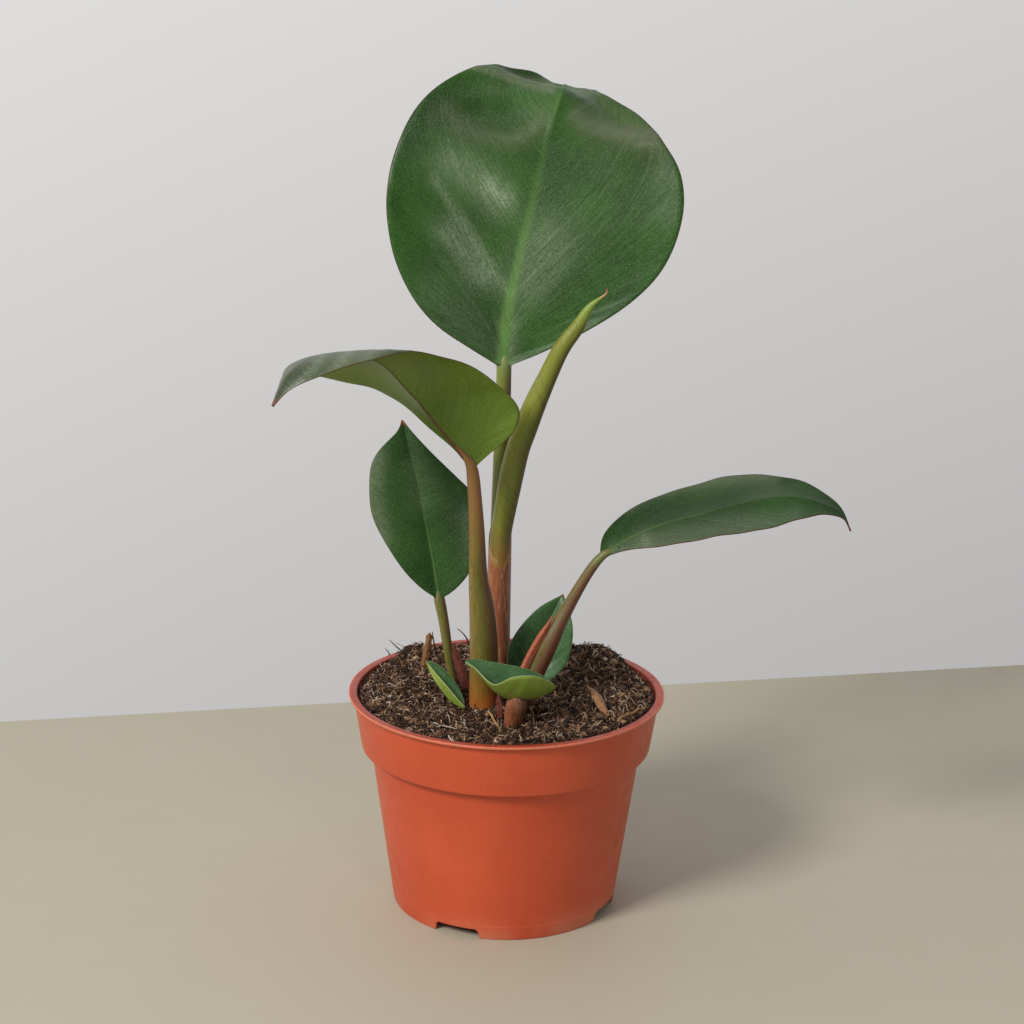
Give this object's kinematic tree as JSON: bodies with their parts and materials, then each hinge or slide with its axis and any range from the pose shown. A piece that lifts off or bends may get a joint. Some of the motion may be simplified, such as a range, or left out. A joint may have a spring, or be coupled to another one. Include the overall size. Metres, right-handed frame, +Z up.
{
  "type": "potted philodendron",
  "caption": "Young philodendron with broad leaves and a rolled new leaf, in peat soil in a plastic nursery pot.",
  "frame": {"origin": "bottom centre of the whole object's bounding box, on the surface that the pot stands on", "axes": "+Z up along the pot's axis and the plant, +X to the right leaf, -Y to the viewer in front"},
  "size_m": [0.2068, 0.1456, 0.3142],
  "materials": {
    "pot_plastic": "satin moulded terracotta-orange plastic",
    "peat_soil": "rough moist peat and coir fibre",
    "leaf_dark": "waxy semi-gloss dark green leaf",
    "leaf_olive": "waxy leaf, olive green underside",
    "leaf_young": "waxy young leaf, pale margin",
    "rolled_leaf": "smooth rolled leaf, olive yellow",
    "petiole_green": "smooth fleshy stalk, olive green",
    "petiole_bronze": "smooth fleshy stalk, bronze brown",
    "petiole_red": "smooth fleshy stalk, reddish brown",
    "dried_sheath": "papery dried sheath, maroon",
    "dried_tan": "papery dried leaf, tan",
    "root_fibre": "matt pale fibre"
  },
  "bodies": {
    "root": {"pot": "pot_plastic", "soil": "peat_soil", "top_leaf_blade": "leaf_dark", "lower_left_leaf_blade": "leaf_dark", "right_leaf_blade": "leaf_dark", "left_leaf_blade": "leaf_olive", "small_back_leaf_blade": "leaf_young", "small_front_leaf_blade": "leaf_young", "tiny_left_leaf": "leaf_young", "rolled_new_leaf": "rolled_leaf", "top_leaf_petiole": "petiole_green", "left_leaf_petiole": "petiole_bronze", "lower_left_leaf_petiole": "petiole_green", "right_leaf_petiole": "petiole_bronze", "small_back_leaf_petiole": "petiole_green", "small_front_leaf_stem": "petiole_red", "stem_sheath": "petiole_red", "right_petiole_wing": "petiole_red", "dried_sheath_left": "dried_sheath", "dried_sheath_front": "dried_sheath", "dried_stub_back": "dried_tan", "dry_leaf_flake": "dried_tan", "root_strand": "root_fibre", "front_twig": "root_fibre"}
  },
  "joints": []
}
